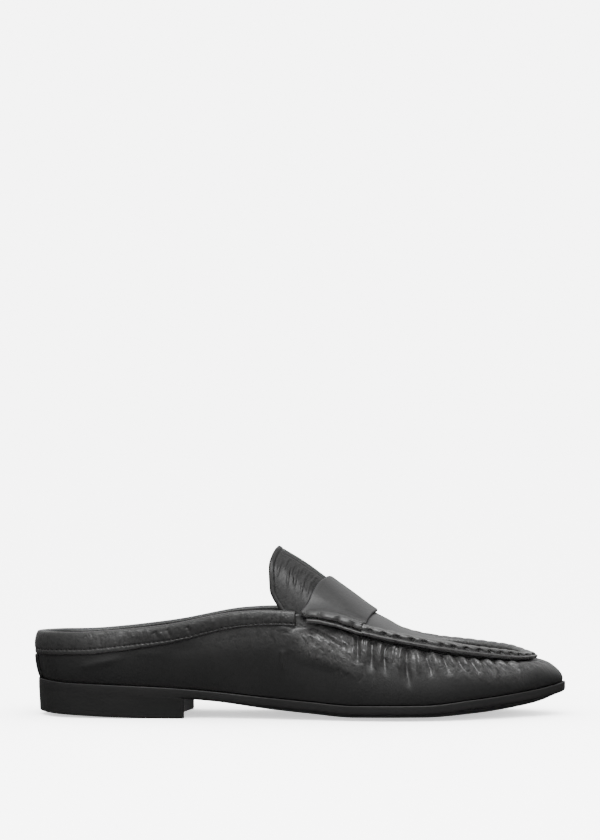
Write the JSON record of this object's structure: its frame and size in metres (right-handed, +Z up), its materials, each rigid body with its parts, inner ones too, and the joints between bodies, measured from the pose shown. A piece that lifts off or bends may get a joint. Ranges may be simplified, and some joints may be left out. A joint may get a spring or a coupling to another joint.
{
  "type": "loafer mule",
  "caption": "Leather loafer mule for the right foot with a low closed back, hand sewn moccasin front, saddle strap, upright tongue and low stacked heel.",
  "frame": {"origin": "on the floor, under the middle of the shoe's bounding box", "axes": "+X from the heel to the toe, +Y towards the inner side of the foot, +Z up"},
  "size_m": [0.27, 0.0866, 0.0856],
  "materials": {
    "sole_leather": "painted satin",
    "heel_stack": "painted satin",
    "lining_leather": "matt",
    "upper_leather": "glossy, creased",
    "strap_leather": "glossy, smooth"
  },
  "bodies": {
    "root": {"outsole": "sole_leather", "heel": "heel_stack", "insole": "lining_leather", "upper": "upper_leather", "apron": "upper_leather", "apron_seam": "upper_leather", "saddle_strap": "strap_leather", "tongue": "upper_leather", "collar_band": "upper_leather", "back_strap": "upper_leather"}
  },
  "joints": []
}
